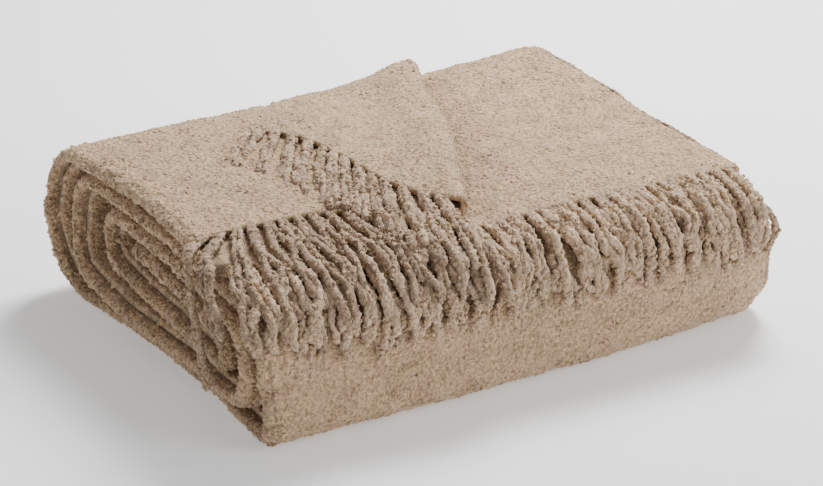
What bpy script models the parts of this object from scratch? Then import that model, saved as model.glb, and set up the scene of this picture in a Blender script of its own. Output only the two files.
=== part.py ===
"""A boucle throw folded in thirds, then folded over and over into a flat pack, with its knotted
fringe hanging over the front. Metres, +Z up, the pack's bottom on z = 0, its long side along X,
its front towards -Y."""

import math

import bmesh
import bpy
import numpy as np

# Cloth
CLOTH_THICKNESS = 0.0050
PLY_PITCH = 0.0062                # middle of one ply to the middle of the next
PACK_HALF_LENGTH = 0.2215         # middle of the pack to the outermost fold of the thirds
INNER_EDGE_X = -0.2150            # the first third's own edge, just short of the left fold
OUTER_EDGE_X = 0.208              # the top third's own edge, short of the right end
OUTER_EDGE_HEM_X = 0.182          # the same edge at the hem
OUTER_EDGE_EASE = 0.20            # over this length of the strip it comes in
RIGHT_END_HEIGHT = 0.955          # height at the right end as a share of that at the left
FRONT_DROOP = 0.060               # how far the front left corner of the pack sinks, as a share
RIGHT_DROOP = 0.020               # the same at the front right corner
RIGHT_BACK_SPREAD = 0.032         # how much further back the pack reaches towards its right end
RIGHT_FRONT_SPREAD = 0.008        # how much further forward it reaches there
RIGHT_BACK_REACH = 0.016          # how far out its right end reaches at the back
RIGHT_BACK_REACH_FROM = 0.7       # from this share of its length on
LEFT_BACK_DROOP = 0.045           # how far its back left corner sinks, as a share
RIGHT_BACK_RISE = 0.035           # how much higher its back right corner is, as a share
FRONT_FLARE = 0.026               # how far its foot spreads to the front at the left end
FLARE_HEIGHT = 0.070              # up to this height
LEFT_SWELL = 0.0040               # how far the left end of each pass swells at its middle ply
LEFT_SWELL_EASE = 0.030           # over this length of the strip's left side
PACK_HALF_DEPTH = 0.15            # from its middle to where its front and back bend down
DROOP_START_Y = -0.02             # in front of this the front corners sink
DROOP_LENGTH = 0.13

TO_FRAME = (0.0060, -0.0058, 0.0)  # moves the folded throw over the frame's origin

# Passes of the folded strip
PASS_PITCH = 0.0197
BOTTOM_PASS_Z = PLY_PITCH + CLOTH_THICKNESS / 2
MIDDLE_PASS_START_Y = 0.056
TOP_PASS_END_Y = -0.098           # where the top pass starts to bend down over the front
HANG_DEPTH = 0.0780               # from there to the hanging fringe, across
HANG_DROP = 0.045                 # and down
HANG_SQUARENESS = 2.8             # 2 for an oval bend and more for a squarer one
HANG_LENGTH = 0.085

# One row for each turn, from the middle of the pack outwards.
# low and high are passes counted from the bottom, reach is the y of the turn's outermost point,
# depth is how far the turn sticks out past its passes, squareness is 2 for an oval and more for
# a squarer bend, dent is how far its middle is pushed in, and rows is how many rows of faces it has.
TURNS = (
    # name,          low, high, reach,   depth, squareness, dent, rows
    ("inner_front",  2,   3,    -0.110,  0.00985, 2.0,      0.0,   5),
    ("inner_back",   2,   4,    0.098,   0.0200, 2.0,       0.0,   6),
    ("middle_front", 1,   4,    -0.1425, 0.0290, 2.2,       0.0,   7),
    ("middle_back",  1,   5,    0.1400,  0.0320, 2.3,       0.003, 10),
    ("outer_front",  0,   5,    -0.1630, 0.0370, 2.7,       0.0,   8),
    ("outer_back",   0,   6,    0.161,   0.0420, 2.4,       0.0,   9),
)

# How far the strip lies out of line to the left (-) or the right (+), from its inner end (0) to
# the front edge of the top pass (1).
PASS_SHIFTS = (
    # share, x
    (0.000,  0.004),
    (0.150,  -0.003),
    (0.280,  0.004),
    (0.370,  -0.004),
    (0.420,  -0.016),
    (0.470,  -0.014),
    (0.540,  -0.002),
    (0.600,  0.002),
    (0.720,  0.009),
    (0.760,  0.004),
    (0.800,  -0.008),
    (0.830,  -0.020),
    (0.855,  -0.027),
    (0.888,  -0.018),
    (0.934,  -0.005),
    (1.000,  -0.003),
)

# The hem of the top third, in the flat, before its corner is turned back: y against x.
TOP_HEM = (
    # x,      y
    (-0.2215, -0.071),
    (-0.150,  -0.069),
    (-0.090,  -0.076),
    (-0.050,  -0.102),
    (-0.015,  -0.119),
    (0.035,   -0.118),
    (0.070,   -0.102),
    (0.105,   -0.076),
    (0.150,   -0.050),
    (0.182,   -0.040),
)
OUTER_HEM_Y = TOP_HEM[-1][1]
UNDER_HEM_Y = -0.130              # the hem of the two thirds beneath
UNDER_HEM_LEFT_Y = -0.106         # the same at the left fold

# The corner turned back
CREASE_X = -0.022                 # where the crease meets the hem
CREASE_ANGLE = math.radians(65.0)
CREASE_RADIUS = 0.0036
CREASE_BEND_Y = 0.095             # behind this the crease runs off to the right, round the back
CREASE_BEND = 0.42                # how fast

FLAP_LIFT = 0.0018                # how far the turned corner stands off where it goes over the back
FLAP_LIFT_Y = 0.110
FLAP_LIFT_EASE = 0.030

# Fringe
STRAND_WIDTH = 0.0050
STRAND_PITCH = 0.0091
STRAND_LENGTH = 0.090
STRAND_ROWS = 5
STRIP_GAP = 0.0013
STRIP_WIDTH = 0.0040
STRIP_THICKNESS = 0.0042
HEM_SOFTENING = 15                # the strip's direction is a mean over this many places either way
STRAND_SEED = 7
STRAND_UNEVENNESS = 0.10          # of its length
STRAND_TIP_SHARE = 0.55           # of its width

# One row for each place along a hem. share runs along the hem from its left end. first and last
# are the headings in degrees that a strand leaves with and ends with, 0 straight to the front and
# positive to the right.
# length is a share of STRAND_LENGTH, and lift is how far a strand rises past its root.
LEFT_HEADINGS = (
    # share, first, last, length, lift
    (0.0,    -62,   -66,  1.50,   0.0035),
    (0.09,   -42,   -46,  1.55,   0.0025),
    (0.18,   -22,   -18,  1.50,   0.0010),
    (0.35,   -8,    -6,   1.25,   0.0),
    (0.7,    2,     2,    1.1,    0.0),
    (1.0,    6,     3,    1.0,    0.0),
)
TURNED_HEADINGS = (
    (0.0,    -62,   -36,  1.0,    -0.0010),
    (0.25,   -60,   -24,  1.0,    -0.0010),
    (0.5,    -55,   -14,  1.0,    -0.0010),
    (0.75,   -30,   -6,   1.0,    -0.0010),
    (1.0,    -8,    0,    1.0,    -0.0010),
)
FRONT_HEADINGS = (
    (0.0,    -6,    -5,   1.0,    0.0),
    (0.5,    0,     0,    1.0,    0.0),
    (0.85,   3,     4,    1.0,    0.0),
    (1.0,    9,     12,   1.0,    0.0),
)
SIDE_HANG_X = -0.2305             # past this a strand bends down over the pack's left side
SIDE_HANG_REACH = 0.010

# Rows of the mesh
ROW_LEVELS = (-0.076, -0.025, 0.035)            # y of the rows that every pass has
LEVEL_MARGIN = 0.012                            # and how far they keep from its ends
LONG_PASS = 0.06                                # a stretch shorter than this has no such rows
CREASED_ROWS_Y = (0.115, 0.097, 0.075)          # further rows where the crease swings round
FURTHER_ROWS_S = (1.086, 1.7475)                # rows at the back of the fifth pass, and just past
                                                # the turned corner's back end
TILT_START_Y = 0.050                            # where the top pass's rows start to lean to the hem
HEM_TILTS = (0.16, 0.32, 0.46, 0.58, 0.69, 0.79, 0.88, 0.95, 1.0)
EDGE_ROUND = 0.0016
THIRD_STATIONS = (0.0, 0.26, 0.52, 0.76, 0.90, 1.0)    # columns of the two lower thirds
BEFORE_POINTS = 5                               # columns of the top third before the crease,
ROLL_POINTS = 4                                 # round it
AFTER_POINTS = 5                                # and past it
UPPER_POINTS = BEFORE_POINTS + ROLL_POINTS + AFTER_POINTS
TOP_START = 2 * len(THIRD_STATIONS) + 8         # the first column of the top third
CREASE_LEAST = 0.012                            # the roll's columns keep this far from the edge
ROLL_LEAST_SHARE = 0.8                          # and take up this share of what is left at most
EVEN_S = 1.336                                  # up to here along the strip the columns are even,
CREASED_S = 1.696                               # and from here they follow the crease

WOOL = (0.56, 0.47, 0.38, 1.0)
FRINGE_WOOL = (0.50, 0.41, 0.32, 1.0)


def turn_points(low, high, reach, depth, squareness, dent, rows, upward):
    """Half an oval from one pass to another, as (y, z) rows, pushed in at its middle by dent. Its
    outermost point is at reach where there is no dent."""
    side = 1 if reach > 0 else -1
    z_low = BOTTOM_PASS_Z + low * PASS_PITCH
    z_high = BOTTOM_PASS_Z + high * PASS_PITCH
    angle = np.linspace(-math.pi / 2, math.pi / 2, rows + 1)
    if not upward:
        angle = angle[::-1]
    across = np.abs(np.cos(angle)) ** (2 / squareness)
    along = np.sign(np.sin(angle)) * np.abs(np.sin(angle)) ** (2 / squareness)
    y = reach - side * (depth * (1 - across) + dent * np.cos(angle) ** 4)
    z = (z_low + z_high) / 2 + along * (z_high - z_low) / 2
    return np.column_stack([y, z])


def strip_path():
    """The middle line of the folded strip from the middle of the pack to the tips of the hanging
    fringe, as (y, z) rows, with the row of the pack's last turn."""
    start = [MIDDLE_PASS_START_Y, BOTTOM_PASS_Z + 3 * PASS_PITCH]
    pieces = [np.array([start])]
    for name, low, high, reach, depth, squareness, dent, rows in TURNS:
        upward = reach > 0
        pieces.append(turn_points(low, high, reach, depth, squareness, dent, rows * 4, upward))
    angle = np.linspace(0, math.pi / 2, 25)
    top_z = BOTTOM_PASS_Z + 6 * PASS_PITCH
    power = 2 / HANG_SQUARENESS
    bend_y = TOP_PASS_END_Y - HANG_DEPTH * np.sin(angle) ** power
    bend_z = top_z - HANG_DROP * (1 - np.abs(np.cos(angle)) ** power)
    pieces.append(np.column_stack([bend_y, bend_z]))
    foot_z = np.linspace(bend_z[-1], bend_z[-1] - HANG_LENGTH, 6)[1:]
    pieces.append(np.column_stack([np.full(len(foot_z), bend_y[-1]), foot_z]))
    return np.vstack(pieces)


PATH = strip_path()
PATH_STEPS = np.hypot(*np.diff(PATH, axis=0).T)
PATH_S = np.concatenate([[0.0], np.cumsum(PATH_STEPS)])
BEND_S = float(PATH_S[len(PATH) - 30])     # the end of the flat top pass


def s_of_front(y):
    """How far along the strip the top pass reaches y."""
    return BEND_S + (TOP_PASS_END_Y - y)


def path_point(s):
    """The middle line's (y, z) and its outward normal at distance s, whole arrays at once."""
    y = np.interp(s, PATH_S, PATH[:, 0])
    z = np.interp(s, PATH_S, PATH[:, 1])
    reach = 0.0025
    step_y = np.interp(s + reach, PATH_S, PATH[:, 0]) - np.interp(s - reach, PATH_S, PATH[:, 0])
    step_z = np.interp(s + reach, PATH_S, PATH[:, 1]) - np.interp(s - reach, PATH_S, PATH[:, 1])
    size = np.hypot(step_y, step_z)
    return y, z, step_z / size, -step_y / size


def pass_shift(s):
    """How far the strip lies out of line at distance s."""
    table = np.array(PASS_SHIFTS)
    return np.interp(s / BEND_S, table[:, 0], table[:, 1])


def settle(x, y, z):
    """The pack's own unevenness: lower to the right, sunk at its front corners, bowed a little."""
    share = (x + PACK_HALF_LENGTH) / (2 * PACK_HALF_LENGTH)
    behind = np.clip(y / PACK_HALF_DEPTH, 0, 1)
    height = 1 - (1 - RIGHT_END_HEIGHT) * np.clip(share, 0, 1) ** 1.3
    height = height - LEFT_BACK_DROOP * np.clip(1 - share, 0, 1) * behind
    height = height + RIGHT_BACK_RISE * np.clip(share, 0, 1) ** 2 * behind
    front = np.clip((DROOP_START_Y - y) / DROOP_LENGTH, 0, 1.2)
    front = front * front * (3 - 2 * np.minimum(front, 1.0))
    droop = FRONT_DROOP + (RIGHT_DROOP - FRONT_DROOP) * np.clip(share, 0, 1)
    bow = 0.002 * np.sin(9.0 * x + 0.8) * np.sin(22.0 * z + 0.4)
    rise = 1 + 0.016 * np.sin(13.0 * x + 17.0 * y + 2.0)
    back = behind ** 2
    end = np.clip((share - RIGHT_BACK_REACH_FROM) / (1 - RIGHT_BACK_REACH_FROM), 0, 1) ** 2
    ahead = np.clip(-y / PACK_HALF_DEPTH, 0, 1) ** 2
    y_out = y + bow + RIGHT_BACK_SPREAD * share * back - RIGHT_FRONT_SPREAD * share * ahead
    foot = np.clip(1 - z / FLARE_HEIGHT, 0, 1) ** 2
    y_out = y_out - FRONT_FLARE * (1 - np.clip(share, 0, 1) ** 4) * foot * ahead
    x_out = x + RIGHT_BACK_REACH * behind * end
    return x_out, y_out, z * height * rise * (1 - droop * front)


def over_the_side(x, y, z):
    """Bends down what reaches out past the pack's left side."""
    out = np.clip(SIDE_HANG_X - x, 0, None)
    kept = SIDE_HANG_REACH * (1 - np.exp(-out / SIDE_HANG_REACH))
    return x + out - kept, y, z - (out - kept)


def swell(x, h):
    """How far the left end of a pass stands out at h: most at the middle ply, so that the three
    plies end in one round ridge."""
    near_end = np.clip((LEFT_SWELL_EASE - PACK_HALF_LENGTH - x) / LEFT_SWELL_EASE, 0, 1)
    height = np.clip(h / PASS_PITCH * 2, -1, 1)
    return -LEFT_SWELL * near_end ** 2 * (0.6 - height * height)


def in_space(x, s, h):
    """A point of the folded strip in space: x across the pack, s along the strip, h above its
    middle line."""
    y, z, out_y, out_z = path_point(s)
    x = x + swell(x, h)
    return settle(x + pass_shift(s), y + h * out_y, z + h * out_z)


def top_hem_y(x):
    table = np.array(TOP_HEM)
    fine = np.linspace(table[0, 0], table[-1, 0], 81)
    rough = np.interp(fine, table[:, 0], table[:, 1])
    soft = np.convolve(np.pad(rough, 5, mode="edge"), np.ones(11) / 11, mode="valid")
    return np.interp(x, fine, soft)


CREASE_S = float(s_of_front(top_hem_y(CREASE_X)))


def crease_bend(s):
    """How far the crease has run off to the right of a straight line at distance s."""
    behind = np.clip(s_of_front(CREASE_BEND_Y) - s, 0, None)
    return CREASE_BEND * behind * behind / (behind + 0.03)


def turn_back(x, s, h):
    """Turns back the corner past the crease: a point d past it goes round a roll of
    CREASE_RADIUS and then back over the third that it belongs to."""
    across = np.array([math.sin(CREASE_ANGLE), math.cos(CREASE_ANGLE)])
    straight_x = x - crease_bend(s)
    d = (straight_x - CREASE_X) * across[0] + (s - CREASE_S) * across[1]
    up = h - PLY_PITCH
    r = CREASE_RADIUS
    turn = np.clip(d / r, 0, math.pi)
    past = np.clip(d - math.pi * r, 0, None)
    new_d = np.where(d > 0, (r - up) * np.sin(turn) - past, d)
    new_h = np.where(d > 0, PLY_PITCH + r - (r - up) * np.cos(turn), h)
    new_s = s + (new_d - d) * across[1]
    over_bend = np.clip((s_of_front(FLAP_LIFT_Y) - new_s) / FLAP_LIFT_EASE, 0, 1)
    new_h = new_h + FLAP_LIFT * np.clip(past / FLAP_LIFT_EASE, 0, 1) * over_bend
    return straight_x + (new_d - d) * across[0] + crease_bend(new_s), new_s, new_h


def thirds_row(crease_x, edge_x, creased):
    """Middle line of the cloth folded in thirds, seen from its end: x, h and the side to thicken
    it on. The points of the top third stand evenly where creased is 0 and at the crease where it
    is 1."""
    r = PLY_PITCH / 2
    left = -PACK_HALF_LENGTH + r
    right = PACK_HALF_LENGTH - r
    angle = np.radians([30, 75, 105, 150])
    stations = np.array(THIRD_STATIONS)
    lower_x = INNER_EDGE_X + (right - INNER_EDGE_X) * stations
    middle_x = left + (right - left) * stations[::-1]
    right_turn = right + r * np.sin(angle), -PLY_PITCH + r * (1 - np.cos(angle))
    left_turn = left - r * np.sin(angle), r * (1 - np.cos(angle))
    crease_x = min(crease_x, edge_x - CREASE_LEAST)
    roll_width = min(math.pi * CREASE_RADIUS, ROLL_LEAST_SHARE * (edge_x - crease_x))
    roll = crease_x + np.linspace(0, 1, ROLL_POINTS) * roll_width
    before = np.linspace(left, crease_x, BEFORE_POINTS + 1)[:-1]
    after = np.linspace(roll[-1], edge_x, AFTER_POINTS + 1)[1:]
    even = np.linspace(left, edge_x, UPPER_POINTS)
    upper_x = creased * np.concatenate([before, roll, after]) + (1 - creased) * even
    flat = np.ones(len(stations))
    upper = np.ones(UPPER_POINTS)
    x = np.concatenate([lower_x, right_turn[0], middle_x, left_turn[0], upper_x])
    h = np.concatenate([
        -PLY_PITCH * flat, right_turn[1], 0 * flat, left_turn[1], PLY_PITCH * upper])
    side_x = np.concatenate([0 * flat, np.sin(angle), 0 * flat, np.sin(angle), 0 * upper])
    side_h = np.concatenate([-flat, -np.cos(angle), flat, np.cos(angle), -upper])
    return x, h, side_x, side_h


def hem_s(row_x, row_h):
    """How far along the strip the hem is at each point of a row of the folded thirds."""
    left_share = np.clip((row_x + PACK_HALF_LENGTH) / 0.10, 0, 1)
    under_y = UNDER_HEM_LEFT_Y + (UNDER_HEM_Y - UNDER_HEM_LEFT_Y) * left_share
    height = np.clip(row_h / PLY_PITCH, 0, 1)
    return s_of_front(under_y + (top_hem_y(row_x) - under_y) * height)


def outer_edge_x(row_s):
    """Where the top third's own edge is at one row: it comes in towards the hem."""
    share = np.clip((row_s - s_of_front(PACK_HALF_DEPTH)) / OUTER_EDGE_EASE, 0, 1)
    return OUTER_EDGE_X + (OUTER_EDGE_HEM_X - OUTER_EDGE_X) * share


def crease_crossing(row_s, tilt, edge_x):
    """Where across the pack one row of the top third crosses the crease."""
    x = np.linspace(CREASE_X - 0.04, edge_x, 300)
    s = row_s + tilt * (hem_s(x, np.full(300, PLY_PITCH)) - row_s)
    straight_x = x - crease_bend(s)
    d = (straight_x - CREASE_X) * math.sin(CREASE_ANGLE) + (s - CREASE_S) * math.cos(CREASE_ANGLE)
    return float(np.interp(0.0, d, x))


def cloth_rows():
    """The rows of the cloth as (distance along the strip, tilt): tilt 1 follows the hem."""
    marks = [0.0]
    start = 1
    for turn in TURNS:
        rows = turn[-1]
        marks += [float(PATH_S[start + 4 * k]) for k in range(rows + 1)]
        start += rows * 4 + 1
    stops = []
    for near, far in zip(marks[:-1], marks[1:]):
        if far - near > LONG_PASS:
            y_near, y_far = np.interp([near, far], PATH_S, PATH[:, 0])
            front = min(y_near, y_far) + LEVEL_MARGIN
            back = max(y_near, y_far) - LEVEL_MARGIN
            level = [y for y in ROW_LEVELS if front < y < back]
            stops += [near + (far - near) * (y - y_near) / (y_far - y_near) for y in level]
    rows = [(s, 0.0) for s in sorted(marks + stops + list(FURTHER_ROWS_S))]
    last = s_of_front(TILT_START_Y)
    rows += [(s_of_front(y), 0.0) for y in CREASED_ROWS_Y] + [(last, 0.0)]
    rows += [(last, float(tilt)) for tilt in HEM_TILTS]
    return rows


def row_points(row_s, tilt):
    """The middle line of one row of the cloth: x, s, h and the side to thicken it on."""
    edge_x = outer_edge_x(row_s + tilt * (s_of_front(OUTER_HEM_Y) - row_s))
    crease_x = crease_crossing(row_s, tilt, edge_x)
    creased = np.clip((row_s - EVEN_S) / (CREASED_S - EVEN_S), 0, 1)
    x, h, side_x, side_h = thirds_row(crease_x, edge_x, creased)
    return x, row_s + tilt * (hem_s(x, h) - row_s), h, side_x, side_h


def ring(row_s, tilt):
    """One closed outline of the cloth: one face of it, an edge point, the other face, an edge
    point. It gives points in space."""
    x, s, h, side_x, side_h = row_points(row_s, tilt)
    half = CLOTH_THICKNESS / 2
    first_x = np.concatenate([x + half * side_x, [x[-1] + EDGE_ROUND]])
    first_h = np.concatenate([h + half * side_h, [h[-1]]])
    second_x = np.concatenate([(x - half * side_x)[::-1], [x[0] - EDGE_ROUND]])
    second_h = np.concatenate([(h - half * side_h)[::-1], [h[0]]])
    ring_x = np.concatenate([first_x, second_x])
    ring_h = np.concatenate([first_h, second_h])
    ring_s = np.concatenate([s, [s[-1]], s[::-1], [s[0]]])
    in_top = np.arange(len(x)) >= TOP_START
    top = np.concatenate([in_top, [True], in_top[::-1], [False]])
    back_x, back_s, back_h = turn_back(ring_x, ring_s, ring_h)
    return in_space(
        np.where(top, back_x, ring_x), np.where(top, back_s, ring_s), np.where(top, back_h, ring_h))


def mesh_object(name, points, faces, material):
    mesh = bpy.data.meshes.new(name)
    mesh.from_pydata((np.asarray(points) + TO_FRAME).tolist(), [], faces)
    work = bmesh.new()
    work.from_mesh(mesh)
    bmesh.ops.recalc_face_normals(work, faces=work.faces)
    if work.calc_volume(signed=True) < 0:
        bmesh.ops.reverse_faces(work, faces=work.faces)
    for face in work.faces:
        face.smooth = True
    work.to_mesh(mesh)
    work.free()
    mesh.materials.append(material)
    obj = bpy.data.objects.new(name, mesh)
    bpy.context.scene.collection.objects.link(obj)
    return obj


def wool_material(name, colour):
    material = bpy.data.materials.new(name)
    material.use_nodes = True
    shader = material.node_tree.nodes["Principled BSDF"]
    shader.inputs["Base Color"].default_value = colour
    shader.inputs["Roughness"].default_value = 0.95
    shader.inputs["Metallic"].default_value = 0.0
    return material


def make_cloth():
    """The folded throw: closed outlines joined row by row, with the inner end and the hem capped
    between the two faces of the cloth. Both faces are cut into triangles along the same lines, so
    that the cloth stays as thick between its columns as at them."""
    outlines = [np.column_stack(ring(s, tilt)) for s, tilt in cloth_rows()]
    count = len(outlines[0])
    half = count // 2
    faces = []
    for row in range(len(outlines) - 1):
        for k in range(count):
            a = row * count + k
            b = row * count + (k + 1) % count
            if k < half:
                faces += [(a, b, b + count), (a, b + count, a + count)]
            else:
                faces += [(a, b, a + count), (b, b + count, a + count)]
    for base in (0, (len(outlines) - 1) * count):
        faces.append((base + count - 1, base, base + count - 2))
        for k in range(half - 2):
            faces.append((base + k, base + k + 1, base + count - 3 - k, base + count - 2 - k))
        faces.append((base + half - 2, base + half - 1, base + half))
    wool = wool_material("boucle_wool", WOOL)
    return mesh_object("cloth", np.vstack(outlines), faces, wool)


def hem_line(kind, first, last, count=400):
    """The hem between two shares of its length as arrays of x, s, h and the outward direction in
    the strip's plane, after the corner is turned back. It runs through the points of the cloth's
    own last row, so that the strip lies along it."""
    x, s, h, _, _ = row_points(s_of_front(TILT_START_Y), 1.0)
    if kind == "under":
        columns = np.arange(TOP_START - 5, len(THIRD_STATIONS) + 3, -1)
        x, s, h = x[columns], s[columns], h[columns]
    elif kind == "left":
        columns = np.arange(TOP_START, TOP_START + BEFORE_POINTS + 1)
        x, s, h = x[columns], s[columns], h[columns]
    else:
        columns = np.arange(len(x) - 1, TOP_START + BEFORE_POINTS + ROLL_POINTS - 2, -1)
        x, s, h = turn_back(x[columns], s[columns], h[columns])
    length = np.concatenate([[0], np.cumsum(np.hypot(np.diff(x), np.diff(s)))])
    even = np.linspace(first, last, count) * length[-1]
    x, s, h = (np.interp(even, length, a) for a in (x, s, h))
    soft = np.ones(2 * HEM_SOFTENING + 1) / (2 * HEM_SOFTENING + 1)
    step_x = np.convolve(np.pad(np.gradient(x), HEM_SOFTENING, mode="edge"), soft, mode="valid")
    step_s = np.convolve(np.pad(np.gradient(s), HEM_SOFTENING, mode="edge"), soft, mode="valid")
    size = np.hypot(step_x, step_s)
    return x, s, h, -step_s / size, step_x / size, even - even[0]


def along(table, share, column):
    rows = np.array(table)
    return float(np.interp(share, rows[:, 0], rows[:, column]))


def make_fringe(name, hem, headings, material, stagger):
    """A narrow strip just clear of the hem, with a strand of four sides drawn out of it at each
    pitch. Each strand is a run of four-cornered outlines in the strip's plane, set in space."""
    x, s, h, out_x, out_s, length = hem
    strands = int((length[-1] - STRAND_WIDTH) / STRAND_PITCH)
    margin = (length[-1] - strands * STRAND_PITCH) / 2
    web = (STRAND_PITCH - STRAND_WIDTH) / 2
    stations = []
    for k in range(strands):
        stations += [margin + k * STRAND_PITCH, margin + k * STRAND_PITCH + web,
                     margin + (k + 1) * STRAND_PITCH - web]
    stations.append(margin + strands * STRAND_PITCH)
    place = [np.interp(stations, length, a) for a in (x, s, h, out_x, out_s)]
    half = STRIP_THICKNESS / 2
    points = []
    for px, ps, ph, ox, os_ in zip(*place):
        for across, up in ((STRIP_GAP, -half), (STRIP_GAP, half),
                           (STRIP_GAP + STRIP_WIDTH, half), (STRIP_GAP + STRIP_WIDTH, -half)):
            points.append((px + across * ox, ps + across * os_, ph + up))
    faces = []
    for k in range(len(stations) - 1):
        a, b = 4 * k, 4 * k + 4
        for c in (0, 1, 3):
            d = (c + 1) % 4
            faces.append((a + c, a + d, b + d, b + c))
        if k % 3 != 1:
            faces.append((a + 2, a + 3, b + 3, b + 2))
    faces.append((0, 1, 2, 3))
    end = 4 * (len(stations) - 1)
    faces.append((end, end + 3, end + 2, end + 1))
    chance = np.random.default_rng(STRAND_SEED + strands)
    for k in range(strands):
        share = (k + 0.5) / strands
        root = 4 * (3 * k + 1)
        previous = [root + 2, root + 3, root + 7, root + 6]
        centre = np.mean([points[i] for i in previous], axis=0)
        first = math.radians(along(headings, share, 1))
        last = math.radians(along(headings, share, 2))
        long = STRAND_LENGTH * along(headings, share, 3)
        long *= 1 + STRAND_UNEVENNESS * chance.uniform(-1, 1)
        wave = 0.0009 * chance.uniform(-1, 1)
        lift = stagger * (k % 2)
        for row in range(1, STRAND_ROWS + 1):
            t = row / STRAND_ROWS
            turned = first + (last - first) * min(1.0, t * 1.6)
            step = long / STRAND_ROWS
            centre = centre + np.array([math.sin(turned) * step, math.cos(turned) * step, 0.0])
            sway = wave * math.sin(5.0 * t + k)
            up = (lift + along(headings, share, 4)) * min(1.0, t * 2.5)
            thin = 1.0 if row < STRAND_ROWS else STRAND_TIP_SHARE
            side = np.array([math.cos(turned), -math.sin(turned), 0.0]) * STRAND_WIDTH / 2 * thin
            rise = np.array([0.0, 0.0, STRIP_THICKNESS / 2 * thin])
            middle = centre + np.array([sway, 0.0, up])
            corners = [middle - side + rise, middle - side - rise,
                       middle + side - rise, middle + side + rise]
            base = len(points)
            points += [tuple(c) for c in corners]
            now = [base, base + 1, base + 2, base + 3]
            for c in range(4):
                d = (c + 1) % 4
                faces.append((previous[c], previous[d], now[d], now[c]))
            previous = now
        faces.append(tuple(previous))
    flat = np.array(points)
    space = np.column_stack(over_the_side(*in_space(flat[:, 0], flat[:, 1], flat[:, 2])))
    return mesh_object(name, space, faces, material)


def main():
    for obj in list(bpy.data.objects):
        bpy.data.objects.remove(obj)
    bpy.context.scene.unit_settings.scale_length = 1.0
    make_cloth()
    fringe_wool = wool_material("fringe_wool", FRINGE_WOOL)
    make_fringe("fringe_left", hem_line("left", 0.02, 0.95), LEFT_HEADINGS, fringe_wool, 0.0)
    make_fringe("fringe_turned", hem_line("turned", 0.02, 0.92), TURNED_HEADINGS, fringe_wool, 0.0052)
    make_fringe("fringe_front", hem_line("under", 0.01, 0.99), FRONT_HEADINGS, fringe_wool, 0.0)


main()
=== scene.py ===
# %% [markdown]
# # A folded boucle throw
# The real thing is a woollen throw of about 130 by 208 cm, woven with curly boucle yarn. It is
# folded in thirds, then folded over and over into a flat pack, and the corner of its top third is
# turned back along a slanting crease. The fringe of three hems hangs over the front.
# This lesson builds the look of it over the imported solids: first the folded cloth, then the curls
# of its pile, then the fringe, and last the floor, the lights and the camera.

# %% Load the frame
import math

import bmesh
import bpy
import numpy as np
from mathutils import Matrix, Vector


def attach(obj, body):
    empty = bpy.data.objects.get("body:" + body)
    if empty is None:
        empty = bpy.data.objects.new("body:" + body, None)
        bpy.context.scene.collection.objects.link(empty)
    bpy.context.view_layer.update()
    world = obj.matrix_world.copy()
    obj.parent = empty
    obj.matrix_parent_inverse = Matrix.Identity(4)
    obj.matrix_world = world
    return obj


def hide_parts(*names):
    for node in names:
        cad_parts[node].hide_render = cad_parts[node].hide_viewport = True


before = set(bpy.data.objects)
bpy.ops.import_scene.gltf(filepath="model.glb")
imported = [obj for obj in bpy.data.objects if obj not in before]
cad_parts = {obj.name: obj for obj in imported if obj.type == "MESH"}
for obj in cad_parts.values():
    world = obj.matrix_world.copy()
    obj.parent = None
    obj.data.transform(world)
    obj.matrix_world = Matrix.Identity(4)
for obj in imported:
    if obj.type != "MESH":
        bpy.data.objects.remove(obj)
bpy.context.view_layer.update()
print("nodes of the frame:", sorted(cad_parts))

# %% [markdown]
# ## The strip
# Folded in thirds, the cloth is a strip 44 cm wide and three plies thick. Everything is first
# placed in the strip's own space, where x runs across it, s along it and h up from its middle ply.
# One function then bends that space along the path of the folds, so cloth, pile and fringe all
# follow the same folds and lie on each other as they do on the real throw.
# The sizes are those of the solids, so that every piece sits where its solid is.

# %% Sizes of the folded cloth
CLOTH_THICKNESS = 0.0050
PLY_PITCH = 0.0062
PACK_HALF_LENGTH = 0.2215
INNER_EDGE_X = -0.2150
OUTER_EDGE_X = 0.208
OUTER_EDGE_HEM_X = 0.182
PASS_PITCH = 0.0197
BOTTOM_PASS_Z = PLY_PITCH + CLOTH_THICKNESS / 2
TO_FRAME = np.array([0.0060, -0.0058, 0.0])
TOP_PASS_END_Y = -0.098
HANG_DEPTH = 0.0780
HANG_DROP = 0.045
HANG_SQUARENESS = 2.8
HANG_LENGTH = 0.085
MIDDLE_PASS, TOP_PASS = 3, 6
MIDDLE_PASS_START_Y = 0.056

# Each turn from the middle of the pack outwards, passes counted from the bottom.
TURNS = (
    # low, high, reach,   depth,   squareness, dent
    (2,    3,    -0.110,  0.00985, 2.0,        0.0),
    (2,    4,    0.098,   0.0200,  2.0,        0.0),
    (1,    4,    -0.1425, 0.0290,  2.2,        0.0),
    (1,    5,    0.1400,  0.0320,  2.3,        0.003),
    (0,    5,    -0.1630, 0.0370,  2.7,        0.0),
    (0,    6,    0.161,   0.0420,  2.4,        0.0),
)
TURN_STEPS, BEND_POINTS, FOOT_POINTS = 36, 25, 5


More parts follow.
